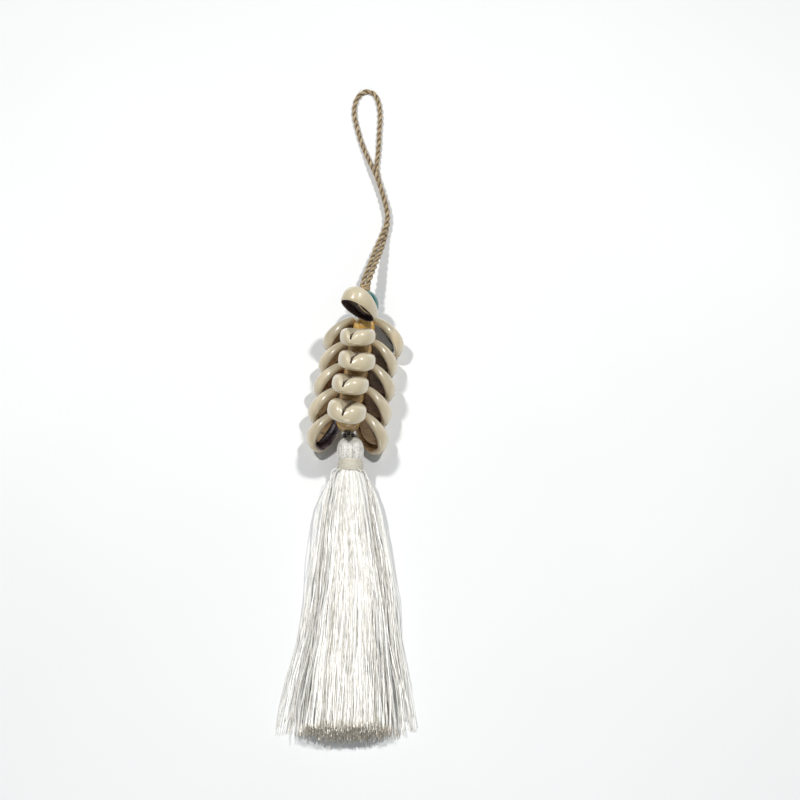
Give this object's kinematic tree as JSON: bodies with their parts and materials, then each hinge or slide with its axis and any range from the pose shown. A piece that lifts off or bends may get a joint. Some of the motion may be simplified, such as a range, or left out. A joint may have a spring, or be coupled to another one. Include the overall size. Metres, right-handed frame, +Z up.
{
  "type": "cowrie shell tassel",
  "caption": "Lying tassel: jute hanging loop, teal bead, tiers of sliced cowrie shells round wooden beads, and a white thread tassel with a bound neck.",
  "frame": {"origin": "on the surface that the tassel lies on, under the middle of the box of all but its hanging loop", "axes": "+Z up from the surface, +Y along the string from the skirt towards the hanging loop, +X to the right seen from above with the loop away"},
  "size_m": [0.0463, 0.3197, 0.0352],
  "materials": {
    "cowrie_cream": "polished shell, cream white",
    "cowrie_tan": "polished shell, tan beige outside and brown inside",
    "varnished_wood": "varnished turned wood",
    "amber_wood": "glossy amber varnish on wood",
    "teal_glaze": "glossy teal",
    "dark_glass": "dark glossy glass",
    "jute": "dry twisted jute",
    "white_thread": "silky white thread",
    "cream_thread": "cream binding thread"
  },
  "bodies": {
    "root": {"shell_0_front": "cowrie_cream", "shell_0_left": "cowrie_tan", "shell_0_right": "cowrie_tan", "shell_1_front": "cowrie_cream", "shell_1_left": "cowrie_tan", "shell_1_right": "cowrie_tan", "shell_2_front": "cowrie_cream", "shell_2_left": "cowrie_tan", "shell_2_right": "cowrie_tan", "shell_3_front": "cowrie_cream", "shell_3_left": "cowrie_tan", "shell_3_right": "cowrie_tan", "shell_4_front": "cowrie_cream", "shell_4_left": "cowrie_tan", "shell_4_right": "cowrie_tan", "teal_bead": "teal_glaze", "amber_bead": "amber_wood", "wood_bead_1": "varnished_wood", "wood_bead_2": "varnished_wood", "wood_bead_3": "varnished_wood", "wood_bead_4": "varnished_wood", "seed_bead_1": "dark_glass", "seed_bead_2": "dark_glass", "seed_bead_3": "dark_glass", "seed_bead_4": "dark_glass", "seed_bead_5": "dark_glass", "seed_bead_6": "dark_glass", "core_thread": "cream_thread", "cord_loop": "jute", "cord_knot": "jute", "tassel": "white_thread", "neck_wrap": "cream_thread"}
  },
  "joints": []
}
